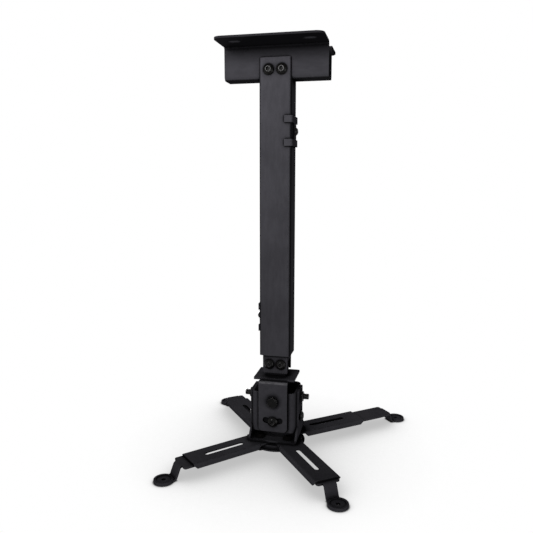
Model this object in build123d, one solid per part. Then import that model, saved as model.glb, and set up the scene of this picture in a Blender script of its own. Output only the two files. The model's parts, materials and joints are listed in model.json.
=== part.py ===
from build123d import *
import math
import os

# Telescopic projector ceiling mount, collapsed to its shortest drop, in millimetres.
# The origin is the centre of the ceiling face, +Z points at the ceiling, X runs along the
# ceiling bracket and the front of the mount faces -Y.

# Fits shared by all pieces
face_gap = 0.2           # between flat faces of pieces that move on each other
pin_clearance = 0.08     # radial, round bolts that turn in their holes
bolt_clearance = 0.08    # radial, round bolts that only clamp
nut_clearance = 0.05     # radial, between a nut's bore and its bolt
slot_clearance = 0.3     # each side of a lock bolt in its arc slot
seat_gap = 0.3           # between a lock screw's tip and the inner tube
clevis_fit = 0.1         # between a clevis plate and the piece it straddles
head_margin = 0.2        # between a bolt head's rim and the bend beside it
strip_side_gap = 0.5     # between a foot strip and the arm's flanges
pick_tolerance = 0.01    # for choosing edges by where they lie

# Proportions of bolt heads and nuts
button_edge = 0.3        # straight part of a button head, of its height
button_crown = 0.72      # radius of the flat round the socket, of the socket width
button_dome = 0.7        # radius of the dome, of the head diameter
socket_depth = 0.6       # of the head height
bolt_point = 0.5         # chamfer at the end of a shank
hex_turning = 0.6        # how far the turned chamfer cuts in from a corner
hex_slope = 0.58         # height of that chamfer to its width

# Ceiling bracket, one folded hat channel
bracket_length = 106.0
bracket_depth = 104.0
bracket_drop = 34.5
bracket_sheet = 2.0
bracket_bend = 2.0
flange_corner = 8.0
ceiling_spacing_x = 74.0
ceiling_spacing_y = 68.0
ceiling_slot_length = 14.0
ceiling_slot_width = 7.0

# Outer tube
outer_width = 33.2
outer_depth = 28.0
outer_wall = 2.0
outer_corner = 3.0
tube_inside_corner = 0.5  # smallest radius inside a tube
outer_top_drop = 13.7
outer_length = 306.5
clevis_relief = 0.6
plate_corner = 1.5

# Inner tube
slide_gap_side = 0.8     # between the tubes, left and right
slide_gap_front = 0.5    # between the tubes, front and rear
inner_wall = 1.5
inner_corner = 2.5
inner_headroom = 10.7    # from the bracket's floor down to the tube, pushed in
inner_show = 20.0
inner_clevis = 14.0

# Bolts that clamp the clevis ends
clamp_bolt = 6.0
clamp_head = 10.8
clamp_head_height = 3.3
clamp_socket = 4.0
top_bolt_spacing = 13.4
top_bolt_drop = 11.3
low_bolt_spacing = 12.4
low_bolt_rise = 10.0
nut_width = 10.0
nut_height = 5.0
bolt_end = 1.5

# Lock straps with their screws
strap_sheet = 1.5
strap_bend = 1.2
strap_gap = 0.1
strap_height = 30.0
strap_finger = 6.8
strap_reach = 7.0
strap_web = 12.0
strap_upper_drop = 85.0
strap_lower_rise = 41.2  # from the outer tube's end up to the lower strap
lock_screw = 5.0
lock_head = 8.6
lock_head_height = 2.8
lock_socket = 3.0

# Saddle under the inner tube and the swivel plate under the saddle
saddle_sheet = 2.0
saddle_bend = 1.5
saddle_width = 22.0
saddle_height = 18.0
saddle_gap = 2.2
swivel_plate_width = 44.6
swivel_plate_depth = 35.2
swivel_plate_sheet = 2.0
swivel_plate_corner = 1.5
swivel_bolt = 8.0
swivel_head_height = 4.4
swivel_socket = 5.0
swivel_nut_width = 13.0
swivel_nut_height = 6.5

# Upper yoke, an upside-down U
yoke_width = 31.0
yoke_depth = 46.0
yoke_height = 55.3
yoke_sheet = 2.5
yoke_bend = 1.5
yoke_corner = 4.0

# Tilt head
pivot_drop = 21.5        # from the top of the upper yoke to the pivots
pivot_bolt = 6.0
pivot_head_width = 10.0
pivot_head_height = 4.0
pivot_stub = 5.8         # bolt end past the thin nut of a side pivot
thin_nut_height = 3.2
lock_radius = 22.5       # from the pivots down to the lock bolts
tilt_limit = 15.0        # degrees, each way and on both axes
tilt_spare = 5.0         # degrees of slot past the limit
tilt_gap = 0.3
block_rise = 9.0         # from the pivots up to the block's rim
block_height = 44.0
block_wall = 2.0
block_corner = 7.0

# Lower yoke, a U that stands on the arms
lower_width = 52.6
lower_base_depth = 50.0
lower_ear_depth = 28.0
lower_shoulder = 3.0     # from the base up to where the sides slope in to the ears
lower_sheet = 2.0
lower_bend = 1.5
lower_drop = 45.6        # from the pivots to the underside of the base
lower_rise = 9.0
lower_corner = 4.0

# Hub, a disc under the arms with a wider rim below their flanges
hub_radius = 22.0
hub_disc_diameter = 56.0
hub_rim_diameter = 62.0
hub_rim_sheet = 1.5
hub_rim_bevel = 0.4
hub_rim_gap = 0.3        # between the rim and the flanges of the arms

# Arms, folded channels that swing on the hub bolts
arm_sheet = 1.5
arm_bend = 1.0
arm_width = 29.0
arm_reach = 86.8         # from the hub bolt to the end
arm_flange_start = 8.0
arm_flange_chamfer = 3.5
arm_slot_start = 21.8
arm_slot_end = 67.8
arm_slot_width = 5.2
lug_length = 6.0
lug_reach = 4.0
lug_inset = 2.5          # from the arm's end to the outer lugs
lug_pitch = 14.0

# Foot strips that slide under the arms
strip_sheet = 2.0
strip_start = 16.0       # from the hub bolt to the strip's inner end, at rest
fork_width = 14.6        # opening between the tines of a front strip
fork_margin = 2.7        # from the end of the arm's slot to the fork's root, at rest
strip_bend = 2.0
strip_lug_gap = 0.3      # between a strip and the lugs that carry it
leg_width = 13.4
leg_start = 2.5          # from the arm's end to the bend
leg_lean = 5.0
shoulder_show = 1.5      # from the arm's end to the strip's shoulders
shoulder_radius = 2.5
foot_drop = 16.2         # from the top of the arm to the underside of the pad
pad_diameter = 20.0
pad_hole = 4.4
pad_rim_width = 2.2
pad_rim_height = 0.8
pad_reach = 18.8         # from the arm's end to the pad's centre, pushed in

# How each arm stands at rest: its turn in plan away from the diagonal through its hub bolt, in
# degrees, and how far its foot is drawn out
front_left_turn = 1.2
front_left_drawn = 8.4
front_right_turn = -8.6
front_right_drawn = 1.5
rear_right_turn = -6.3
rear_right_drawn = 39.9
rear_left_turn = -7.0
rear_left_drawn = 14.4

# Diagonal of each arm in degrees, then its turn, its drawn length and whether its strip is forked
arm_places = {
    "front_left": (225, front_left_turn, front_left_drawn, True),
    "front_right": (315, front_right_turn, front_right_drawn, True),
    "rear_right": (45, rear_right_turn, rear_right_drawn, False),
    "rear_left": (135, rear_left_turn, rear_left_drawn, False),
}

# Levels and heights that follow from the sizes above
outer_top = -outer_top_drop
outer_bottom = outer_top - outer_length
strap_upper_level = -strap_upper_drop
strap_lower_level = outer_bottom + strap_lower_rise
inner_bottom = outer_bottom - inner_show
inner_top = -bracket_drop - inner_headroom
saddle_floor = inner_bottom - saddle_gap
swivel_plate_top = saddle_floor - saddle_sheet
swivel_plate_bottom = swivel_plate_top - swivel_plate_sheet
yoke_top = swivel_plate_bottom - face_gap
yoke_bottom = yoke_top - yoke_height
pivot_level = yoke_top - pivot_drop
lock_level = pivot_level - lock_radius
block_top = pivot_level + block_rise
base_bottom = pivot_level - lower_drop
base_top = base_bottom + lower_sheet
arm_top = base_bottom - face_gap
arm_flange = arm_sheet + face_gap + strip_sheet + strip_lug_gap + arm_sheet
hub_disc_top = arm_top - arm_sheet - face_gap
hub_rim_top = arm_top - arm_flange - hub_rim_gap
hub_rim_bottom = hub_rim_top - hub_rim_sheet

# Widths that follow from what each piece fits on
inner_width = outer_width - 2 * (outer_wall + slide_gap_side)
inner_depth = outer_depth - 2 * (outer_wall + slide_gap_front)
channel_half = outer_depth / 2 - outer_wall - clevis_fit
saddle_half = inner_depth / 2 - inner_wall - clevis_fit
swivel_head = 2 * (saddle_half - saddle_sheet - saddle_bend - head_margin)
strip_width = arm_width - 2 * (arm_sheet + strip_side_gap)
block_depth = yoke_depth - 2 * (yoke_sheet + tilt_gap)
block_width = lower_width - 2 * (lower_sheet + tilt_gap)
top_bolt_level = outer_top - top_bolt_drop
low_bolt_level = inner_bottom + low_bolt_rise
lock_slot_width = pivot_bolt + 2 * slot_clearance


def folded(points, bend, sheet, width, plane):
    """A strip of sheet bent along its centre line, with its width centred on the plane."""
    line = FilletPolyline(*points, radius=bend + sheet / 2)
    return extrude(plane * trace(line, line_width=sheet), amount=width / 2, both=True)


def facing(point, direction):
    """A plane at a point whose local Z points along the direction."""
    x_dir = (1, 0, 0) if direction[2] else (0, 0, 1)
    return Plane(origin=point, x_dir=x_dir, z_dir=direction)


def bore(point, direction, radius, length):
    """A cutter centred on a point."""
    return facing(point, direction) * Cylinder(radius, length)


def button_bolt(shank, length, head, head_height, socket):
    """A domed socket bolt: the head stands on local Z = 0 and the shank hangs below."""
    rim = (head / 2, head_height * button_edge)
    crown = (socket * button_crown, head_height)
    dome = RadiusArc(rim, crown, -head * button_dome)
    outline = Polyline(crown, (0, head_height), (0, -length), (shank / 2 - bolt_point, -length),
                       (shank / 2, -length + bolt_point), (shank / 2, 0), (head / 2, 0), rim)
    profile = Plane.XZ * make_face(Wire([*outline.edges(), dome]))
    recess = Pos(0, 0, head_height) * extrude(RegularPolygon(socket / 2, 6, major_radius=False),
                                              amount=-head_height * socket_depth)
    return revolve(profile, axis=Axis.Z) - recess


def hexagon(width, height, hole=0.0):
    """A hexagonal head or nut with turned corners, standing on local Z = 0."""
    prism = extrude(RegularPolygon(width / 2, 6, major_radius=False), amount=height)
    corner = width / math.sqrt(3)
    bite = (corner - width / 2) * hex_turning
    turned = Pos(0, 0, height / 2) * Cylinder(corner, height)
    turned = chamfer(turned.edges().group_by(Axis.Z)[-1], bite * hex_slope, bite)
    body = prism & turned
    if hole:
        body -= Pos(0, 0, height / 2) * Cylinder(hole / 2, 2 * height)
    return body


def hex_bolt(shank, length, width, height):
    """A hexagon-head bolt: the head stands on local Z = 0 and the shank hangs below."""
    stem = Pos(0, 0, -length / 2) * Cylinder(shank / 2, length)
    stem = chamfer(stem.edges().group_by(Axis.Z)[0], bolt_point)
    return hexagon(width, height) + stem


def nut(bolt, width, height):
    return hexagon(width, height, bolt + 2 * nut_clearance)


def group(pieces):
    """Separate solids that share one node."""
    return Compound(children=[piece.solid() for piece in pieces])


def tube(width, depth, wall, corner, bottom, top):
    inside = max(corner - wall, tube_inside_corner)
    ring = RectangleRounded(width, depth, corner) - RectangleRounded(
        width - 2 * wall, depth - 2 * wall, inside)
    return Pos(0, 0, bottom) * extrude(ring, amount=top - bottom)


def round_plate_ends(part, level, radius):
    """Rounds the free corners of two clevis plates, which are edges along Y at one level."""
    corners = [e for e in part.edges().filter_by(Axis.Y) if abs(e.center().Z - level) < pick_tolerance]
    return fillet(corners, radius)


def rounded_plates(part, width, depth, end, far):
    """Rounds the corners of a tube's end plates by trimming the tube to a rounded outline."""
    outline = Pos(0, (end + far) / 2) * Rectangle(width, abs(end - far))
    corners = outline.vertices().group_by(Axis.Y)[-1 if end > far else 0]
    return part & extrude(Plane.XZ * fillet(corners, plate_corner), amount=depth, both=True)


def ceiling_bracket():
    wall = channel_half - bracket_sheet / 2
    half = bracket_sheet / 2
    floor = -bracket_drop + half
    hat = [(-bracket_depth / 2, -half), (-wall, -half), (-wall, floor),
           (wall, floor), (wall, -half), (bracket_depth / 2, -half)]
    part = folded(hat, bracket_bend, bracket_sheet, bracket_length, Plane.YZ)
    tips = [e for e in part.edges().filter_by(Axis.Z)
            if abs(abs(e.center().Y) - bracket_depth / 2) < pick_tolerance]
    part = fillet(tips, flange_corner)
    for x in (-ceiling_spacing_x / 2, ceiling_spacing_x / 2):
        for y in (-ceiling_spacing_y / 2, ceiling_spacing_y / 2):
            slot = SlotOverall(ceiling_slot_length, ceiling_slot_width)
            part -= Pos(x, y, -bracket_sheet) * extrude(slot, amount=3 * bracket_sheet, both=True)
    for x in (-top_bolt_spacing / 2, top_bolt_spacing / 2):
        part -= bore((x, 0, top_bolt_level), (0, 1, 0), clamp_bolt / 2 + bolt_clearance, outer_depth)
    return part


def outer_tube():
    part = tube(outer_width, outer_depth, outer_wall, outer_corner, outer_bottom, outer_top)
    cut_bottom = -bracket_drop - clevis_relief
    opening = Box(2 * outer_width, outer_depth - 2 * outer_wall, 2 * (outer_top - cut_bottom))
    part -= Pos(0, 0, outer_top) * opening
    part = rounded_plates(part, outer_width, outer_depth, outer_top, outer_bottom)
    for x in (-top_bolt_spacing / 2, top_bolt_spacing / 2):
        part -= bore((x, 0, top_bolt_level), (0, 1, 0), clamp_bolt / 2 + bolt_clearance,
                     2 * outer_depth)
    for side, level in ((1, strap_upper_level), (-1, strap_lower_level)):
        part -= bore((side * outer_width / 2, 0, level), (1, 0, 0), lock_screw / 2 + bolt_clearance,
                     4 * outer_wall)
    return part


def inner_tube():
    part = tube(inner_width, inner_depth, inner_wall, inner_corner, inner_bottom, inner_top)
    opening = Box(2 * inner_width, inner_depth - 2 * inner_wall, 2 * inner_clevis)
    part -= Pos(0, 0, inner_bottom) * opening
    part = rounded_plates(part, inner_width, inner_depth, inner_bottom, inner_top)
    for x in (-low_bolt_spacing / 2, low_bolt_spacing / 2):
        part -= bore((x, 0, low_bolt_level), (0, 1, 0), clamp_bolt / 2 + bolt_clearance,
                     2 * inner_depth)
    return part


def clamp_pair(depth, spacing, level):
    """Two bolts through a clevis from the front, and their nuts at the rear."""
    length = depth + nut_height + bolt_end
    bolts = []
    nuts = []
    for x in (-spacing / 2, spacing / 2):
        front = facing((x, -depth / 2, level), (0, -1, 0))
        rear = facing((x, depth / 2, level), (0, 1, 0))
        bolts.append(front * button_bolt(clamp_bolt, length, clamp_head, clamp_head_height,
                                         clamp_socket))
        nuts.append(rear * nut(clamp_bolt, nut_width, nut_height))
    return group(bolts), group(nuts)


def lock_strap(side, level):
    """A clip bent round one side of the outer tube: two bands joined by a web at the side."""
    off = strap_gap + strap_sheet / 2
    x_side = side * (outer_width / 2 + off)
    x_tip = side * (outer_width / 2 - strap_reach)
    y_face = outer_depth / 2 + off
    path = [(x_tip, -y_face), (x_side, -y_face), (x_side, y_face), (x_tip, y_face)]
    part = folded(path, strap_bend, strap_sheet, strap_height, Plane.XY)
    gap = strap_height - 2 * strap_finger
    for end in (-1, 1):
        relief = Box(2 * outer_width, outer_depth, gap)
        part -= Pos(x_side, end * (strap_web + outer_depth) / 2, 0) * relief
    part -= bore((x_side, 0, 0), (1, 0, 0), lock_screw / 2 + bolt_clearance, 4 * strap_sheet)
    return Pos(0, 0, level) * part


def lock_screws():
    seat = outer_width / 2 + strap_gap + strap_sheet
    length = seat - inner_width / 2 - seat_gap
    screws = []
    for side, level in ((1, strap_upper_level), (-1, strap_lower_level)):
        place = facing((side * seat, 0, level), (side, 0, 0))
        screws.append(place * button_bolt(lock_screw, length, lock_head, lock_head_height, lock_socket))
    return group(screws)


def saddle():
    half = saddle_sheet / 2
    ear = saddle_half - half
    rise = saddle_floor + saddle_height - saddle_sheet
    floor = saddle_floor - half
    part = folded([(-ear, rise), (-ear, floor), (ear, floor), (ear, rise)],
                  saddle_bend, saddle_sheet, saddle_width, Plane.YZ)
    part = round_plate_ends(part, rise, plate_corner)
    for x in (-low_bolt_spacing / 2, low_bolt_spacing / 2):
        part -= bore((x, 0, low_bolt_level), (0, 1, 0), clamp_bolt / 2 + bolt_clearance, inner_depth)
    part -= bore((0, 0, floor), (0, 0, 1), swivel_bolt / 2 + bolt_clearance, 4 * saddle_sheet)
    return part


def swivel_plate():
    outline = RectangleRounded(swivel_plate_width, swivel_plate_depth, swivel_plate_corner)
    outline -= Circle(swivel_bolt / 2 + bolt_clearance)
    return Pos(0, 0, swivel_plate_bottom) * extrude(outline, amount=swivel_plate_sheet)


def swivel_pieces():
    """The vertical bolt that the head turns on, and its nut under the upper yoke."""
    nut_top = yoke_top - yoke_sheet - face_gap
    length = saddle_floor - nut_top + swivel_nut_height + bolt_end
    bolt = Pos(0, 0, saddle_floor) * button_bolt(swivel_bolt, length, swivel_head,
                                                 swivel_head_height, swivel_socket)
    under = facing((0, 0, nut_top), (0, 0, -1)) * nut(swivel_bolt, swivel_nut_width,
                                                      swivel_nut_height)
    return bolt, under


def arc_slot(width, depth):
    """A cutter for a lock bolt's path, hung below the pivot at the local origin, along Z."""
    swing = tilt_limit + tilt_spare
    middle = CenterArc((0, 0), lock_radius, 270 - swing, 2 * swing)
    return extrude(SlotArc(middle, width), amount=depth / 2, both=True)


def upper_yoke():
    half = yoke_sheet / 2
    plate = yoke_depth / 2 - half
    top = yoke_top - half
    part = folded([(-plate, yoke_bottom), (-plate, top), (plate, top), (plate, yoke_bottom)],
                  yoke_bend, yoke_sheet, yoke_width, Plane.YZ)
    part = round_plate_ends(part, yoke_bottom, yoke_corner)
    pivot = Plane(origin=(0, 0, pivot_level), x_dir=(1, 0, 0), z_dir=(0, -1, 0))
    part -= pivot * Cylinder(pivot_bolt / 2 + pin_clearance, 2 * yoke_depth)
    part -= pivot * arc_slot(lock_slot_width, 2 * yoke_depth)
    part -= bore((0, 0, top), (0, 0, 1), swivel_bolt / 2 + pin_clearance, 4 * yoke_sheet)
    return part


def tilt_block():
    part = tube(block_width, block_depth, block_wall, block_corner, block_top - block_height, block_top)
    for level in (pivot_level, lock_level):
        part -= bore((0, 0, level), (0, 1, 0), pivot_bolt / 2 + bolt_clearance, 2 * block_depth)
        part -= bore((0, 0, level), (1, 0, 0), pivot_bolt / 2 + bolt_clearance, 2 * block_width)
    return part


def roll_pieces():
    """Front and rear bolts of the sideways tilt: hexagon pivots above, button lock bolts below."""
    seat = yoke_depth / 2 + face_gap
    inside = block_depth / 2 - block_wall
    length = seat - inside + nut_height + bolt_end
    pivots, locks, nuts = [], [], []
    for side in (-1, 1):
        out = (0, side, 0)
        pivots.append(facing((0, side * seat, pivot_level), out)
                      * hex_bolt(pivot_bolt, length, pivot_head_width, pivot_head_height))
        locks.append(facing((0, side * seat, lock_level), out)
                     * button_bolt(pivot_bolt, length, clamp_head, clamp_head_height, clamp_socket))
        for level in (pivot_level, lock_level):
            nuts.append(facing((0, side * inside, level), (0, -side, 0))
                        * nut(pivot_bolt, nut_width, nut_height))
    return group(pivots), group(locks), group(nuts)


def pitch_pieces():
    """Side bolts of the fore-and-aft tilt: stub pivots with thin nuts outside, lock bolts below."""
    seat = lower_width / 2 + face_gap
    inside = block_width / 2 - block_wall
    stub_length = seat + thin_nut_height + pivot_stub - inside
    lock_length = seat - inside + nut_height + bolt_end
    pivots, thin_nuts, locks, nuts = [], [], [], []
    for side in (-1, 1):
        out = (side, 0, 0)
        back = (-side, 0, 0)
        pivots.append(facing((side * inside, 0, pivot_level), back)
                      * button_bolt(pivot_bolt, stub_length, clamp_head, clamp_head_height,
                                    clamp_socket))
        thin_nuts.append(facing((side * seat, 0, pivot_level), out)
                         * nut(pivot_bolt, nut_width, thin_nut_height))
        locks.append(facing((side * seat, 0, lock_level), out)
                     * button_bolt(pivot_bolt, lock_length, clamp_head, clamp_head_height, clamp_socket))
        nuts.append(facing((side * inside, 0, lock_level), back) * nut(pivot_bolt, nut_width, nut_height))
    return group(pivots), group(thin_nuts), group(locks), group(nuts)


def hub_points():
    """Where the hub bolt of each arm stands in plan."""
    return {name: Vector(hub_radius, 0, 0).rotate(Axis.Z, place[0])
            for name, place in arm_places.items()}


def lower_yoke():
    half = lower_sheet / 2
    wall = lower_width / 2 - half
    top = pivot_level + lower_rise
    base = base_bottom + half
    part = folded([(-wall, top), (-wall, base), (wall, base), (wall, top)],
                  lower_bend, lower_sheet, lower_base_depth, Plane.XZ)
    foot = lower_base_depth / 2
    ear = lower_ear_depth / 2
    slope = base_top + lower_shoulder
    neck = slope + foot - ear
    side = Polyline((-foot, base_bottom), (foot, base_bottom), (foot, slope), (ear, neck), (ear, top),
                    (-ear, top), (-ear, neck), (-foot, slope), close=True)
    outline = make_face(side)
    outline = fillet(outline.vertices().group_by(Axis.Y)[-1], lower_corner)
    part &= extrude(Plane.YZ * outline, amount=lower_width, both=True)
    pivot = Plane(origin=(0, 0, pivot_level), x_dir=(0, 1, 0), z_dir=(1, 0, 0))
    part -= pivot * Cylinder(pivot_bolt / 2 + pin_clearance, 2 * lower_width)
    part -= pivot * arc_slot(lock_slot_width, 2 * lower_width)
    for point in hub_points().values():
        part -= bore((point.X, point.Y, base), (0, 0, 1), clamp_bolt / 2 + bolt_clearance,
                     4 * lower_sheet)
    return part


def hub_disc():
    height = hub_disc_top - hub_rim_bottom
    rim = Pos(0, 0, hub_rim_bottom + hub_rim_sheet / 2) * Cylinder(hub_rim_diameter / 2, hub_rim_sheet)
    part = chamfer(rim.edges().group_by(Axis.Z)[0], hub_rim_bevel)
    part += Pos(0, 0, hub_rim_bottom + height / 2) * Cylinder(hub_disc_diameter / 2, height)
    for point in hub_points().values():
        part -= bore((point.X, point.Y, hub_rim_bottom), (0, 0, 1), clamp_bolt / 2 + bolt_clearance,
                     4 * height)
    return part


def hub_fasteners():
    length = base_top - hub_rim_bottom + nut_height + bolt_end
    bolts, nuts = [], []
    for point in hub_points().values():
        bolts.append(Pos(point.X, point.Y, base_top)
                     * button_bolt(clamp_bolt, length, clamp_head, clamp_head_height, clamp_socket))
        nuts.append(facing((point.X, point.Y, hub_rim_bottom), (0, 0, -1))
                    * nut(clamp_bolt, nut_width, nut_height))
    return group(bolts), group(nuts)


def slot_cutter(start, end, width, height):
    """A straight slot along local X that cuts through everything."""
    shape = Pos((start + end) / 2, 0) * SlotOverall(end - start, width)
    return extrude(shape, amount=height, both=True)


def arm():
    """One arm along local X: the hub bolt is at the origin and the top face at Z = 0."""
    half = arm_sheet / 2
    edge = arm_width / 2
    run = arm_reach - arm_flange_start
    middle = Plane(origin=(arm_flange_start + run / 2, 0, 0), x_dir=(0, 1, 0), z_dir=(1, 0, 0))
    legs = [(-edge + half, -arm_flange), (-edge + half, -half), (edge - half, -half),
            (edge - half, -arm_flange)]
    part = folded(legs, arm_bend, arm_sheet, run, middle)
    flat_width = arm_width - 2 * (arm_sheet + arm_bend)
    tongue = Circle(edge) + Pos(arm_flange_start / 2, 0) * Rectangle(arm_flange_start, arm_width)
    tongue += Pos(arm_flange_start, 0) * Rectangle(2 * arm_flange_start, flat_width)
    part += extrude(tongue, amount=-arm_sheet)
    for x in (arm_flange_start, arm_reach):
        corner = Plane(origin=(x, 0, -arm_flange), x_dir=(1, 0, 0), z_dir=(0, -1, 0))
        wedge = Rectangle(arm_flange_chamfer * math.sqrt(2), arm_flange_chamfer * math.sqrt(2), 45)
        part -= corner * extrude(wedge, amount=arm_width, both=True)
    lug_y = edge - arm_sheet - lug_reach / 2
    for step in (0, 1):
        x = arm_reach - lug_inset - arm_flange_chamfer - lug_length / 2 - step * lug_pitch
        for side in (-1, 1):
            lug = Box(lug_length, lug_reach + arm_sheet, arm_sheet)
            part += Pos(x, side * (lug_y + arm_sheet / 2), -arm_flange + arm_sheet / 2) * lug
    part -= slot_cutter(arm_slot_start, arm_slot_end, arm_slot_width, arm_flange)
    part -= Cylinder(clamp_bolt / 2 + pin_clearance, 4 * arm_sheet)
    return part


def foot_strip(drawn, forked):
    """One foot, pushed in, in the frame of its arm, with a strip long enough for its place at rest."""
    start = strip_start - drawn
    shoulder = arm_reach + shoulder_show
    strip_level = -arm_sheet - face_gap - strip_sheet / 2
    pad_level = -foot_drop + strip_sheet / 2
    bend_x = arm_reach + leg_start + strip_sheet / 2
    pad_x = arm_reach + pad_reach
    side = FilletPolyline((start, strip_level), (bend_x, strip_level),
                          (bend_x + leg_lean, pad_level), (pad_x + pad_diameter, pad_level),
                          radius=strip_bend + strip_sheet / 2)
    bent = extrude(Plane.XZ * trace(side, line_width=strip_sheet), amount=strip_width, both=True)
    bar = Pos((start + shoulder) / 2, 0) * Rectangle(shoulder - start, strip_width)
    bar = fillet(bar.vertices().group_by(Axis.X)[-1], shoulder_radius)
    neck = Pos((shoulder + pad_x) / 2, 0) * Rectangle(pad_x - shoulder + 2 * shoulder_radius, leg_width)
    outline = bar + neck + Pos(pad_x, 0) * Circle(pad_diameter / 2)
    part = bent & extrude(outline, amount=2 * foot_drop, both=True)
    rim = Circle(pad_diameter / 2) - Circle(pad_diameter / 2 - pad_rim_width)
    part += Pos(pad_x, 0, -foot_drop + strip_sheet) * extrude(rim, amount=pad_rim_height)
    part -= Pos(pad_x, 0, -foot_drop) * Cylinder(pad_hole / 2, 4 * strip_sheet)
    if forked:
        root = arm_slot_end + fork_margin - drawn
        part -= slot_cutter(start - fork_width, root, fork_width, arm_flange)
    return part


def build():
    """Every piece of the mount by name."""
    nodes = {"ceiling_bracket": ceiling_bracket(), "outer_tube": outer_tube()}
    nodes["top_bolts"], nodes["top_nuts"] = clamp_pair(outer_depth, top_bolt_spacing, top_bolt_level)
    nodes["lock_strap_upper"] = lock_strap(1, strap_upper_level)
    nodes["lock_strap_lower"] = lock_strap(-1, strap_lower_level)
    nodes["lock_screws"] = lock_screws()
    nodes["inner_tube"] = inner_tube()
    nodes["saddle"] = saddle()
    nodes["saddle_bolts"], nodes["saddle_nuts"] = clamp_pair(inner_depth, low_bolt_spacing, low_bolt_level)
    nodes["swivel_plate"] = swivel_plate()
    nodes["swivel_bolt"], nodes["swivel_nut"] = swivel_pieces()
    nodes["upper_yoke"] = upper_yoke()
    nodes["tilt_block"] = tilt_block()
    nodes["roll_pivots"], nodes["roll_locks"], nodes["roll_nuts"] = roll_pieces()
    (nodes["pitch_pivots"], nodes["pitch_pivot_nuts"], nodes["pitch_locks"],
     nodes["pitch_nuts"]) = pitch_pieces()
    nodes["lower_yoke"] = lower_yoke()
    nodes["hub_disc"] = hub_disc()
    nodes["hub_bolts"], nodes["hub_nuts"] = hub_fasteners()
    one_arm = arm()
    for name, point in hub_points().items():
        diagonal, turn, drawn, forked = arm_places[name]
        place = Pos(point.X, point.Y, arm_top) * Rot(0, 0, diagonal + turn)
        nodes["arm_" + name] = place * one_arm
        nodes["foot_" + name] = place * Pos(drawn, 0, 0) * foot_strip(drawn, forked)
    return nodes


os.makedirs("parts", exist_ok=True)
for node, shape in build().items():
    export_step(shape, f"parts/{node}.step")
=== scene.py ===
import json
import math

import bmesh
import bpy
from bpy.props import FloatProperty, FloatVectorProperty, IntProperty, PointerProperty
from mathutils import Matrix, Vector


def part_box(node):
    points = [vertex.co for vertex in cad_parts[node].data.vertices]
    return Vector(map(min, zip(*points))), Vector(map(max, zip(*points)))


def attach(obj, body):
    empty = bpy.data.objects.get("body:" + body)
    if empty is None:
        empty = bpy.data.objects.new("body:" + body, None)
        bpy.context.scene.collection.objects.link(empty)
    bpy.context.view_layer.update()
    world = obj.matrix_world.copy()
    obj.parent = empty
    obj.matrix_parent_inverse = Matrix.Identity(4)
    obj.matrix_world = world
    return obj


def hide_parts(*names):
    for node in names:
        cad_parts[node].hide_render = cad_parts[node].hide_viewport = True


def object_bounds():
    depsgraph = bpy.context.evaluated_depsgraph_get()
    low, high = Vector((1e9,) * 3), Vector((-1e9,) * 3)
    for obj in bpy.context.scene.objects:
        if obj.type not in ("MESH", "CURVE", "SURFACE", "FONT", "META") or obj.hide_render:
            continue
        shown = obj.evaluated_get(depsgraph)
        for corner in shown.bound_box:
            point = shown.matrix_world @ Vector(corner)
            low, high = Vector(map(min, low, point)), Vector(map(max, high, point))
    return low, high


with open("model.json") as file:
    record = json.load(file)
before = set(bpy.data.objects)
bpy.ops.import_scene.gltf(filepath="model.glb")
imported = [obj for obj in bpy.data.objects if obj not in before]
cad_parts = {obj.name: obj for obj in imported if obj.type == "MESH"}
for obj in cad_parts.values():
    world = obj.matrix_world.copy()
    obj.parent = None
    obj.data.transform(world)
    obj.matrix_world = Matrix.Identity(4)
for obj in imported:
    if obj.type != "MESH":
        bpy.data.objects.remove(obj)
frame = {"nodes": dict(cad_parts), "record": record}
CAD_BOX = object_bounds()
NODES = frame["nodes"]

bl_info = {
    "name": "Projector Ceiling Mount",
    "version": (1, 0, 0),
    "blender": (4, 5, 0),
    "location": "View3D > Sidebar > Mount",
    "description": "Finishes a telescopic projector mount: powder coat, bolts, threads and a plain stage",
    "category": "Object",
}

MM = 0.001

# Sizes of the patterns in the coat and on the bolts.
CLOUD, LINES, MARKS = 45 * MM, 3.6 * MM, 6 * MM
BOLT_CLOUD, BOLT_FINE, BOLT_SHELTER = 4 * MM, 0.5 * MM, 3 * MM

# Tones of the coat, as shares of its own colour; the last is the near-black tone of painted shade.
DARK_TONE, PALE_TONE, SPECK_TONE, PAINTED_SHADE_TONE = 0.84, 1.16, 1.7, 0.12

# How bright the bolts' edges are made, as rubbed steel and painted glint, out in the open, and on the hub bolts
# between the arms, which are a darker copy as painted shade.
OPEN_RUB_AND_GLINT, SHADED_COPY_RUB_AND_GLINT = 0.8, 0.08

EDGE_SAMPLES, CREVICE_SAMPLES, SHADOW_SAMPLES = 6, 8, 16

# Size, place and target of each lamp, in metres.
LAMPS = {
    "key": (0.28, (-0.18, -0.52, 0.12), (0, 0, 0.488)),
    "low": (0.3, (-0.12, -0.62, -0.34), (0, 0, -0.38)),
    "side": (0.5, (0.8, -0.28, -0.34), (0, 0, -0.2)),
    "back": (0.6, (-0.5, 0.8, -0.28), (0, 0, -0.2)),
}
SENSOR_WIDTH = 36
FLOOR_RADIUS, FLOOR_GAP = 4.0, 0.1 * MM

# How far the mount's soft shadow and its contact shadow reach, and the soft shadow's darkest tone.
SOFT_SHADOW, CONTACT_SHADOW, SHADOW_TONE = 150 * MM, 2.35 * MM, 0.5


def middle(node):
    """The middle of a node's box at rest."""
    low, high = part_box(node)
    return (low + high) / 2


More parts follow.
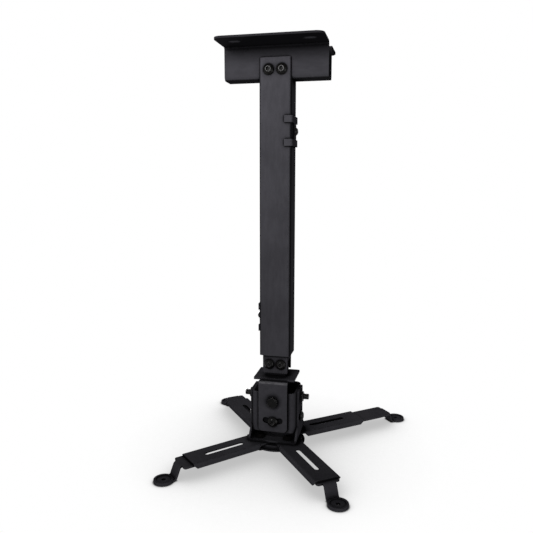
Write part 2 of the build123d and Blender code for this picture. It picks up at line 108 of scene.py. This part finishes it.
class CoatSettings(bpy.types.PropertyGroup):
    """The black powder coat on all sheet and tube pieces."""
    colour: FloatVectorProperty(name="Coat", description="Colour of the powder coat", subtype="COLOR",
                                size=3, min=0, max=1, default=(0.043, 0.0418, 0.0478))
    # The worn colour goes on polished edges and rubbed places, and also serves as painted highlight on edges
    # and bends.
    wear_and_highlight: FloatVectorProperty(name="Worn Coat", description="Colour where edges and rubbed places are polished",
                              subtype="COLOR", size=3, min=0, max=1, default=(0.125, 0.122, 0.131))
    dust: FloatVectorProperty(name="Dust", description="Colour of dust on faces that point up",
                              subtype="COLOR", size=3, min=0, max=1, default=(0.050, 0.049, 0.050))
    roughness: FloatProperty(name="Roughness", description="Roughness of the coat", subtype="FACTOR",
                             min=0, max=1, default=0.6)
    gloss: FloatProperty(name="Gloss", description="Specular level of the coat", subtype="FACTOR",
                         min=0, max=1, default=0.0)
    grain: FloatProperty(name="Grain", description="Size of the coat's fine grain", subtype="DISTANCE",
                         unit="LENGTH", min=0.0001, default=0.7 * MM)
    peel: FloatProperty(name="Peel", description="Size of the coat's slow waves", subtype="DISTANCE",
                        unit="LENGTH", min=0.0005, default=1.7 * MM)
    edge: FloatProperty(name="Edge", description="Radius to which the coat rounds cut edges",
                        subtype="DISTANCE", unit="LENGTH", min=0.0, default=0.7 * MM)
    # The crevice and seam distances set how far painted shade reaches from corners and recesses and from joints
    # between pieces.
    crevice: FloatProperty(name="Crevice", description="How far from a corner grime darkens the coat",
                           subtype="DISTANCE", unit="LENGTH", min=0.001, default=16 * MM)
    seam: FloatProperty(name="Seam", description="How far from a joint between pieces the dark line reaches",
                        subtype="DISTANCE", unit="LENGTH", min=0.0005, default=6 * MM)


class BoltSettings(bpy.types.PropertyGroup):
    """The blackened bolts and nuts and their threads."""
    colour: FloatVectorProperty(name="Blackened Steel", description="Colour of the bolts and nuts",
                                subtype="COLOR", size=3, min=0, max=1, default=(0.0030, 0.0029, 0.0030))
    warm: FloatVectorProperty(name="Warm Sheen", description="Colour of the oil-brown sheen on the bolts",
                              subtype="COLOR", size=3, min=0, max=1, default=(0.0060, 0.0053, 0.0050))
    # The bright edge colour stands for steel rubbed bare and also for a painted glint.
    bright: FloatVectorProperty(name="Bright Edge", description="Colour of edges rubbed back to the steel",
                                subtype="COLOR", size=3, min=0, max=1, default=(0.32, 0.31, 0.32))
    edge: FloatProperty(name="Edge", description="Radius to which the edges are rubbed", subtype="DISTANCE",
                        unit="LENGTH", min=0.0, default=0.55 * MM)
    roughness: FloatProperty(name="Roughness", description="Roughness of the bolts", subtype="FACTOR",
                             min=0, max=1, default=0.10)
    gloss: FloatProperty(name="Gloss", description="Specular level of the bolts", subtype="FACTOR",
                         min=0, max=1, default=0.07)
    pitch: FloatProperty(name="Thread Pitch", description="Distance from crest to crest", subtype="DISTANCE",
                         unit="LENGTH", min=0.0003, default=1.0 * MM)
    crest: FloatProperty(name="Thread Crest", description="How far the crests stand out of the shank",
                         subtype="DISTANCE", unit="LENGTH", min=0.0, default=0.14 * MM)
    facets: IntProperty(name="Thread Facets", description="Facets round a thread", min=12, default=40)


class StageSettings(bpy.types.PropertyGroup):
    """Camera, lamps and floor."""
    place: FloatVectorProperty(name="Camera Place", description="Where the camera stands",
                               subtype="TRANSLATION", unit="LENGTH", size=3,
                               default=(0.1238, -0.5883, -0.1323))
    down: FloatProperty(name="Camera Tilt", description="How far the camera looks down", subtype="ANGLE",
                        unit="ROTATION", default=math.radians(8.8))
    turn: FloatProperty(name="Camera Turn", description="How far the camera is turned to the left",
                        subtype="ANGLE", unit="ROTATION", default=math.radians(13.0))
    lens: FloatProperty(name="Lens", description="Focal length of the camera in millimetres", min=10,
                        default=38.45)
    key: FloatProperty(name="Key Lamp", description="Power of the lamp at the front left", subtype="POWER",
                       unit="POWER", min=0, default=6.9)
    low: FloatProperty(name="Low Lamp", description="Power of the lamp at the front, level with the arms",
                       subtype="POWER", unit="POWER", min=0, default=1.25)
    side: FloatProperty(name="Side Lamp", description="Power of the lamp at the right", subtype="POWER",
                        unit="POWER", min=0, default=2.0)
    back: FloatProperty(name="Back Lamp", description="Power of the lamp at the rear left", subtype="POWER",
                        unit="POWER", min=0, default=12.0)
    sky: FloatProperty(name="Room Light", description="Strength of the even light of the room", min=0,
                       default=0.06)
    floor: FloatVectorProperty(name="Floor", description="Colour of the floor, which the room shines through",
                               subtype="COLOR", size=3, min=0, max=1, default=(1.0, 1.0, 1.0))


class MountSettings(bpy.types.PropertyGroup):
    """All settings of the mount."""
    coat: PointerProperty(type=CoatSettings)
    bolts: PointerProperty(type=BoltSettings)
    stage: PointerProperty(type=StageSettings)


class Shade:
    """One socket of a shader tree. Sums, differences and products of it add Math nodes."""

    def __init__(self, tree, socket=None):
        self.tree = tree
        self.socket = socket

    def node(self, kind, sockets=(), output=0, **settings):
        """Adds a node, makes its settings, fills its sockets with values or links and returns an output."""
        made = self.tree.nodes.new("ShaderNode" + kind)
        for name, value in settings.items():
            setattr(made, name, value)
        for name, value in dict(sockets).items():
            if isinstance(value, Shade):
                self.tree.links.new(value.socket, made.inputs[name])
            else:
                made.inputs[name].default_value = value
        return Shade(self.tree, made.outputs[output] if made.outputs else None)

    def math(self, operation, first, second=0.0):
        return self.node("Math", {0: first, 1: second}, operation=operation)

    def __add__(self, other):
        return self.math("ADD", self, other)

    __radd__ = __add__

    def __mul__(self, other):
        return self.math("MULTIPLY", self, other)

    __rmul__ = __mul__

    def __sub__(self, other):
        return self.math("SUBTRACT", self, other)

    def __rsub__(self, other):
        return self.math("SUBTRACT", other, self)

    def between(self, low, high):
        """0 below low, 1 above high, and smooth between them; low may be the larger."""
        return self.node("MapRange", {"Value": self, "From Min": low, "From Max": high},
                         interpolation_type="SMOOTHSTEP")

    def noise(self, place, size, detail=2.0, roughness=0.5):
        """Noise whose features are about that many metres across."""
        return self.node("TexNoise", {"Vector": place, "Scale": 1 / size, "Detail": detail,
                                      "Roughness": roughness})

    def mix(self, factor, first, second):
        """A colour between two colours."""
        return self.node("Mix", {0: factor, 6: first, 7: second}, output=2, data_type="RGBA")

    def openness(self, distance, samples=CREVICE_SAMPLES):
        """1 where nothing stands within that distance, and less towards corners."""
        return self.node("AmbientOcclusion", {"Distance": distance}, output="AO", samples=samples)

    def rise(self, vector):
        """The Z part of a vector, such as how far a face points up."""
        return self.node("SeparateXYZ", {0: vector}, output="Z")


def rgba(colour, share=1.0):
    """A colour, or a darker or paler tone of it, with alpha."""
    return (*(share * channel for channel in colour), 1.0)


def blank(name):
    """A new material, and a Shade on its empty tree."""
    material = bpy.data.materials.new(name)
    material.use_nodes = True
    material.node_tree.nodes.clear()
    return material, Shade(material.node_tree)


def finish_surface(tree, surface):
    """Joins a surface shader to the material's output."""
    tree.node("OutputMaterial", {"Surface": surface})


def stretched(tree, place, scale):
    """Coordinates scaled on each axis, for streaks."""
    return tree.node("Mapping", {"Vector": place, "Scale": scale})


def distance_from_line(tree, place, point, along):
    """How far a point lies from a line through a point along X, Y or Z."""
    keep = [0.0 if axis == along else 1.0 for axis in "XYZ"]
    shifted = tree.node("VectorMath", {0: place, 1: tuple(point)}, operation="SUBTRACT")
    flat = tree.node("VectorMath", {0: shifted, 1: keep}, operation="MULTIPLY")
    return tree.node("VectorMath", {0: flat}, operation="LENGTH", output="Value")


def edges_of(tree, radius):
    """Normals rounded at edges, the faces' own normals, and a value that is above 0 near an edge."""
    rounded = tree.node("Bevel", {"Radius": radius}, samples=EDGE_SAMPLES)
    facet = tree.node("NewGeometry", output="Normal")
    bend = tree.node("VectorMath", {0: rounded, 1: facet}, operation="DOT_PRODUCT", output="Value")
    return rounded, facet, 1 - bend


def powder_coat(name, settings, rub_and_highlight=None, dim=None, streak=(1, 1, 1)):
    """Powder coat with a fine grain, lightened edges, dust on top, painted shade in corners and along joints,
    and optional lightened and darkened places.

    The two optional masks take the tree and the coordinates: the first lightens rubbed places and places of
    painted highlight, the second darkens places of painted shade. streak stretches the marks."""
    material, tree = blank(name)
    place = tree.node("TexCoord", output="Object")
    grain = tree.noise(place, settings.grain, 3.0, 0.6)
    peel = tree.noise(place, settings.peel, 2.0)
    cloud = tree.noise(place, CLOUD, 3.0, 0.55)
    lines = tree.noise(stretched(tree, place, streak), LINES, 3.0, 0.55)
    marks = tree.noise(stretched(tree, place, streak), MARKS, 4.0, 0.65)
    rounded, facet, sharpness = edges_of(tree, settings.edge)
    # Edges lightened towards the worn colour: partly coat polished thin, partly a painted highlight where
    # rounded edges catch the light.
    edge = sharpness.between(0.02, 0.22) * marks.between(0.30, 0.62)
    # Painted shade: darker near corners, recesses and overhangs, and dark lines along joints between pieces.
    crevice = tree.openness(settings.crevice).between(0.95, 0.5)
    seam = tree.openness(settings.seam).between(0.985, 0.74)
    wear_and_highlight = edge * 0.75
    # Rubbed places, and painted highlights such as those on the yoke's top bends, join the lightened edges.
    if rub_and_highlight:
        wear_and_highlight = tree.math("MAXIMUM", wear_and_highlight, rub_and_highlight(tree, place) * marks.between(0.3, 0.6))
    upward = tree.rise(facet).between(0.6, 0.98)
    dust = upward * cloud.between(0.42, 0.75) * 0.28
    mottle = cloud * 0.6 + lines * 0.4
    tone = tree.mix(mottle.between(0.3, 0.7), rgba(settings.colour, DARK_TONE),
                    rgba(settings.colour, PALE_TONE))
    speck = tree.mix(grain.between(0.55, 0.74) * 0.45, tone, rgba(settings.colour, SPECK_TONE))
    coat = tree.mix(wear_and_highlight, speck, rgba(settings.wear_and_highlight))
    coat = tree.mix(dust, coat, rgba(settings.dust))
    # The painted shade of corners, joints and the darkened places takes the coat towards a near-black tone.
    painted_shade = tree.math("MAXIMUM", crevice * 0.9, seam * 0.92)
    if dim:
        painted_shade = tree.math("MAXIMUM", painted_shade, dim(tree, place))
    coat = tree.mix(painted_shade, coat, rgba(settings.colour, PAINTED_SHADE_TONE))
    rough = settings.roughness + (cloud - 0.5) * 0.16 + (grain - 0.5) * 0.10 - wear_and_highlight * 0.14 + dust * 0.3
    bumped = tree.node("Bump", {"Height": grain * 0.55 + peel * 0.45, "Strength": 0.22,
                                "Distance": 0.12 * MM, "Normal": rounded})
    finish_surface(tree, tree.node("BsdfPrincipled", {
        "Base Color": coat, "Roughness": rough, "Normal": bumped, "Specular IOR Level": settings.gloss}))
    return material


def blackened_steel(name, settings, rubbed, gloss):
    """Oil-blackened steel with a brown sheen in places, and edges lightened by that amount, partly as rubbed
    steel and partly as a painted glint.
    """
    material, tree = blank(name)
    place = tree.node("TexCoord", output="Object")
    cloud = tree.noise(place, BOLT_CLOUD, 3.0, 0.6)
    fine = tree.noise(place, BOLT_FINE, 3.0, 0.6)
    rounded, _, sharpness = edges_of(tree, settings.edge)
    edge = sharpness.between(0.02, 0.25)
    colour = tree.mix(cloud.between(0.4, 0.72), rgba(settings.colour), rgba(settings.warm))
    # Edges lightened towards the bright colour: partly steel rubbed bare, partly a painted glint.
    colour = tree.mix(edge * cloud.between(0.35, 0.6) * rubbed, colour, rgba(settings.bright))
    shelter = tree.openness(BOLT_SHELTER).between(0.85, 0.5)
    rough = settings.roughness + (cloud - 0.5) * 0.12 + (fine - 0.5) * 0.10 + shelter * 0.6
    bumped = tree.node("Bump", {"Height": fine, "Strength": 0.18, "Distance": 0.08 * MM, "Normal": rounded})
    finish_surface(tree, tree.node("BsdfPrincipled", {
        "Base Color": colour, "Roughness": rough, "Normal": bumped, "Specular IOR Level": gloss}))
    return material


def dress(material, *names):
    """Gives CAD nodes their finish."""
    for name in names:
        NODES[name].data.materials.clear()
        NODES[name].data.materials.append(material)


def around_line(point, along, near, far, amount):
    """A mask at its full amount within near metres of a line, and gone at far."""
    return lambda tree, place: distance_from_line(tree, place, point, along).between(far, near) * amount


def along_arc(point, along, radius, width, amount):
    """A mask in a band on a circle round a line, where a bolt's head slides."""
    def mask(tree, place):
        off = tree.math("ABSOLUTE", distance_from_line(tree, place, point, along) - radius)
        return off.between(width, 0.4 * width) * amount
    return mask


def along_corners(corner, near, far, amount):
    """A mask on the four upright corners of a tube round the pole's axis."""
    def mask(tree, place):
        folded = tree.node("VectorMath", {0: place}, operation="ABSOLUTE")
        return distance_from_line(tree, folded, corner, "Z").between(far, near) * amount
    return mask


def facing_down(amount):
    """A mask on faces that point down, for painted shade on their undersides."""
    def mask(tree, place):
        normal = tree.node("NewGeometry", output="Normal")
        return tree.rise(normal).between(-0.5, -0.9) * amount
    return mask


def up_walls(low, high, start, end):
    """A mask on upright faces that grows from start at one level to end at another."""
    def mask(tree, place):
        normal = tree.node("NewGeometry", output="Normal")
        upright = tree.math("ABSOLUTE", tree.rise(normal)).between(0.8, 0.4)
        return (tree.rise(place).between(low, high) * (end - start) + start) * upright
    return mask


def either(*masks):
    """A mask that is the larger of two."""
    return lambda tree, place: tree.math("MAXIMUM", *[mask(tree, place) for mask in masks])


def bolt_frame(point, direction):
    """A bolt's own frame: Z runs along the bolt."""
    turn = Vector((0, 0, 1)).rotation_difference(Vector(direction)).to_matrix().to_4x4()
    return Matrix.Translation(point) @ turn


def thread(bm, place, start, end, radius, settings):
    """A ridged sleeve, as the cut thread on the free end of a bolt."""
    turns = max(1, round((end - start) / settings.pitch))
    step = (end - start) / turns
    root, inside = radius * 0.985, radius * 0.8
    points = [Vector((inside, 0, start))]
    for turn in range(turns):
        points.append(Vector((root, 0, start + turn * step)))
        points.append(Vector((radius + settings.crest, 0, start + (turn + 0.5) * step)))
    points.append(Vector((root, 0, end)))
    points.append(Vector((inside, 0, end)))
    before = set(bm.verts)
    verts = [bm.verts.new(point) for point in points]
    edges = [bm.edges.new(pair) for pair in zip(verts, verts[1:] + verts[:1])]
    bmesh.ops.spin(bm, geom=verts + edges, cent=(0, 0, 0), axis=(0, 0, 1), angle=math.tau,
                   steps=settings.facets, use_merge=True)
    bmesh.ops.transform(bm, matrix=place, verts=[v for v in bm.verts if v not in before])


def placed(name, bm, body, material):
    """The object made of a bmesh, which rides on a body and takes its finish from a slot."""
    mesh = bpy.data.meshes.new(name)
    bm.to_mesh(mesh)
    bm.free()
    mesh.materials.append(material)
    piece = bpy.data.objects.new(name, mesh)
    bpy.context.scene.collection.objects.link(piece)
    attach(piece, body)
    return piece


def thread_piece(name, body, bolts, radius, settings, material):
    """One object with the threads of like bolts. bolts lists point, direction, start and end of each."""
    bm = bmesh.new()
    for point, direction, start, end in bolts:
        thread(bm, bolt_frame(point, direction), start, end, radius, settings)
    bmesh.ops.remove_doubles(bm, verts=bm.verts, dist=0.005 * MM)
    bmesh.ops.recalc_face_normals(bm, faces=bm.faces)
    placed(name, bm, body, material)


def trimmed_strap(name, node, body, front):
    """A strap's own solid without the bands on the front of the pole, so that only its side shows."""
    bm = bmesh.new()
    bm.from_mesh(NODES[node].data)
    bmesh.ops.remove_doubles(bm, verts=bm.verts, dist=0.001 * MM)
    bmesh.ops.bisect_plane(bm, geom=[*bm.verts, *bm.edges, *bm.faces], plane_co=(0, front, 0),
                           plane_no=(0, -1, 0), clear_outer=True)
    bmesh.ops.holes_fill(bm, edges=[edge for edge in bm.edges if edge.is_boundary])
    strap = placed(name, bm, body, NODES[node].data.materials[0])
    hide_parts(node)


class MOUNT_OT_bracket(bpy.types.Operator):
    """Finish the folded ceiling bracket"""
    bl_idname = "mount.bracket"
    bl_label = "Ceiling Bracket"

    def execute(self, context):
        coat = context.scene.mount.coat
        low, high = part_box("ceiling_bracket")
        # Painted shade on the bracket: darker faces that point down, and walls darker towards the top as a
        # painted shadow of the flange.
        dim = either(facing_down(0.75), up_walls(low.z + 8 * MM, high.z, 0.3, 0.72))
        dress(powder_coat("bracket_coat", coat, dim=dim, streak=(0.4, 1, 1)), "ceiling_bracket")
        return {"FINISHED"}


class MOUNT_OT_pole(bpy.types.Operator):
    """Finish the two tubes of the telescopic pole"""
    bl_idname = "mount.pole"
    bl_label = "Telescopic Pole"

    def execute(self, context):
        coat = context.scene.mount.coat
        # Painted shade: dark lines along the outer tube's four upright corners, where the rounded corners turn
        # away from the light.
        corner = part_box("outer_tube")[1] - Vector((0.4, 1.5, 0)) * MM
        dim = along_corners(corner, 0.6 * MM, 2.3 * MM, 0.9)
        dress(powder_coat("outer_tube_coat", coat, dim=dim, streak=(1, 1, 0.25)), "outer_tube")
        dress(powder_coat("inner_tube_coat", coat, streak=(1, 1, 0.05)), "inner_tube")
        return {"FINISHED"}


class MOUNT_OT_straps(bpy.types.Operator):
    """Finish the lock straps, rubbed where the screw heads turn, and trim the lower one"""
    bl_idname = "mount.straps"
    bl_label = "Lock Straps"

    def execute(self, context):
        coat = context.scene.mount.coat
        for name in ("lock_strap_upper", "lock_strap_lower"):
            rub_and_highlight = around_line(middle(name), "X", 4.6 * MM, 5.8 * MM, 0.2)
            dress(powder_coat(name + "_coat", coat, rub_and_highlight), name)
        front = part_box("outer_tube")[0].y + 2.5 * MM
        trimmed_strap("lock_strap_side", "lock_strap_lower", "ceiling_column", front)
        return {"FINISHED"}


class MOUNT_OT_head(bpy.types.Operator):
    """Finish the saddle, the swivel plate, the two yokes and the tilt block"""
    bl_idname = "mount.head"
    bl_label = "Swivel and Tilt Head"

    def execute(self, context):
        coat = context.scene.mount.coat
        dress(powder_coat("saddle_coat", coat), "saddle")
        dress(powder_coat("swivel_plate_coat", coat), "swivel_plate")
        pivot = middle("roll_pivots")
        reach = pivot.z - middle("roll_locks").z
        low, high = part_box("upper_yoke")
        inset = 1.2 * MM
        # Painted highlight along the upper yoke's two top bends, where the bend catches the light.
        bend_highlights = [around_line((0, y, high.z - inset), "X", 0.9 * MM, 1.6 * MM, 0.9)
                 for y in (low.y + inset, high.y - inset)]
        dress(powder_coat("upper_yoke_coat", coat, either(*bend_highlights)), "upper_yoke")
        dress(powder_coat("lower_yoke_coat", coat, along_arc(pivot, "X", reach, 6 * MM, 0.2)), "lower_yoke")
        dress(powder_coat("tilt_block_coat", coat), "tilt_block")
        return {"FINISHED"}


class MOUNT_OT_arms(bpy.types.Operator):
    """Finish the hub disc, the arms and the sliding feet"""
    bl_idname = "mount.arms"
    bl_label = "Arms and Feet"

    def execute(self, context):
        coat = context.scene.mount.coat
        dress(powder_coat("hub_disc_coat", coat), "hub_disc")
        for name in NODES:
            if name.startswith(("arm_", "foot_")):
                dress(powder_coat(name + "_coat", coat), name)
        return {"FINISHED"}


class MOUNT_OT_bolts(bpy.types.Operator):
    """Finish the bolts and nuts, and cut the threads on the stub pivots"""
    bl_idname = "mount.bolts"
    bl_label = "Bolts and Threads"

    def execute(self, context):
        settings = context.scene.mount.bolts
        steel = blackened_steel("blackened_steel", settings, OPEN_RUB_AND_GLINT, settings.gloss)
        slots = {part["node"]: part["material_slot"] for part in frame["record"]["subparts"]}
        dress(steel, *[name for name in NODES if slots[name] == "black_oxide"])
        # The hub bolts get a darker copy of the steel as painted shade: almost no bright edges and no gloss.
        dress(blackened_steel("shaded_copy_steel", settings, SHADED_COPY_RUB_AND_GLINT, 0.0), "hub_bolts")
        stub_low, stub_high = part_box("pitch_pivots")
        nut_low, nut_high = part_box("pitch_pivot_nuts")
        level = (0, 0, middle("pitch_pivots").z)
        chamfer = 0.6 * MM
        stubs = [(level, (1, 0, 0), nut_high.x, stub_high.x - chamfer),
                 (level, (-1, 0, 0), -nut_low.x, -stub_low.x - chamfer)]
        thread_piece("stub_threads", "tilt_head", stubs, 3.0 * MM, settings, steel)
        return {"FINISHED"}


class MOUNT_OT_stage(bpy.types.Operator):
    """Set the floor, the lamps, the room light and the camera"""
    bl_idname = "mount.stage"
    bl_label = "Stage"

    def execute(self, context):
        settings = context.scene.mount.stage
        self.floor(context, settings)
        self.room(context, settings)
        powers = {"key": settings.key, "low": settings.low, "side": settings.side, "back": settings.back}
        for name, (size, place, target) in LAMPS.items():
            self.lamp(context, name + "_lamp", powers[name], size, place, target)
        camera = bpy.data.cameras.new("camera")
        camera.lens = settings.lens
        camera.sensor_width = SENSOR_WIDTH
        view = bpy.data.objects.new("camera", camera)
        view.location = settings.place
        view.rotation_euler = (math.pi / 2 - settings.down, 0, settings.turn)
        context.scene.collection.objects.link(view)
        context.scene.camera = view
        context.scene.view_settings.view_transform = "Standard"
        return {"FINISHED"}

    def lamp(self, context, name, power, size, place, target):
        """A square lamp that stands at a place and points at a target."""
        data = bpy.data.lights.new(name, "AREA")
        data.energy = power
        data.size = size
        lamp = bpy.data.objects.new(name, data)
        lamp.location = place
        lamp.rotation_euler = (Vector(target) - Vector(place)).to_track_quat("-Z", "Y").to_euler()
        context.scene.collection.objects.link(lamp)

    def seen(self, tree):
        """1 for rays of the camera and of reflections, 0 for the light that falls on the mount."""
        rays = [tree.node("LightPath", output=name)
                for name in ("Is Camera Ray", "Is Glossy Ray", "Is Transmission Ray")]
        return tree.math("MINIMUM", rays[0] + rays[1] + rays[2], 1.0)

    def room(self, context, settings):
        """A white background over an even light."""
        world = bpy.data.worlds.new("room")
        world.use_nodes = True
        world.node_tree.nodes.clear()
        tree = Shade(world.node_tree)
        strength = settings.sky + self.seen(tree) * (1 - settings.sky)
        back = tree.node("Background", {"Color": (1, 1, 1, 1), "Strength": strength})
        tree.node("OutputWorld", {"Surface": back})
        context.scene.world = world

    def floor(self, context, settings):
        """A see-through layer that holds the mount's shadow and follows the drop."""
        material, tree = blank("floor_paper")
        soft = tree.math("POWER", tree.openness(SOFT_SHADOW, SHADOW_SAMPLES), 3.0)
        contact = tree.openness(CONTACT_SHADOW).between(0.45, 0.96)
        light = (soft * (1 - SHADOW_TONE) + SHADOW_TONE) * contact
        shadow = tree.node("Emission", {"Color": (0, 0, 0, 1)})
        paper = tree.node("BsdfTransparent", {"Color": rgba(settings.floor)})
        finish_surface(tree, tree.node("MixShader", {0: light, 1: shadow, 2: paper}))
        bm = bmesh.new()
        bmesh.ops.create_circle(bm, cap_ends=True, radius=FLOOR_RADIUS, segments=64)
        bmesh.ops.translate(bm, verts=bm.verts, vec=(0, 0, CAD_BOX[0].z - FLOOR_GAP))
        mesh = bpy.data.meshes.new("floor")
        bm.to_mesh(mesh)
        bm.free()
        mesh.materials.append(material)
        floor = bpy.data.objects.new("floor", mesh)
        floor.visible_diffuse = False
        floor.visible_shadow = False
        context.scene.collection.objects.link(floor)
        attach(floor, "drop_column")


STEPS = (MOUNT_OT_bracket, MOUNT_OT_pole, MOUNT_OT_straps, MOUNT_OT_head, MOUNT_OT_arms, MOUNT_OT_bolts,
         MOUNT_OT_stage)


class MOUNT_PT_sidebar(bpy.types.Panel):
    """The steps of the mount"""
    bl_label = "Projector Mount"
    bl_idname = "MOUNT_PT_sidebar"
    bl_space_type = "VIEW_3D"
    bl_region_type = "UI"
    bl_category = "Mount"

    def draw(self, context):
        for step in STEPS:
            self.layout.operator(step.bl_idname)


CLASSES = (CoatSettings, BoltSettings, StageSettings, MountSettings, *STEPS, MOUNT_PT_sidebar)


def register():
    for item in CLASSES:
        bpy.utils.register_class(item)
    bpy.types.Scene.mount = PointerProperty(type=MountSettings)


def unregister():
    del bpy.types.Scene.mount
    for item in reversed(CLASSES):
        bpy.utils.unregister_class(item)


def main():
    register()
    for step in STEPS:
        group, name = step.bl_idname.split(".")
        getattr(getattr(bpy.ops, group), name)()


if __name__ == "__main__":
    main()
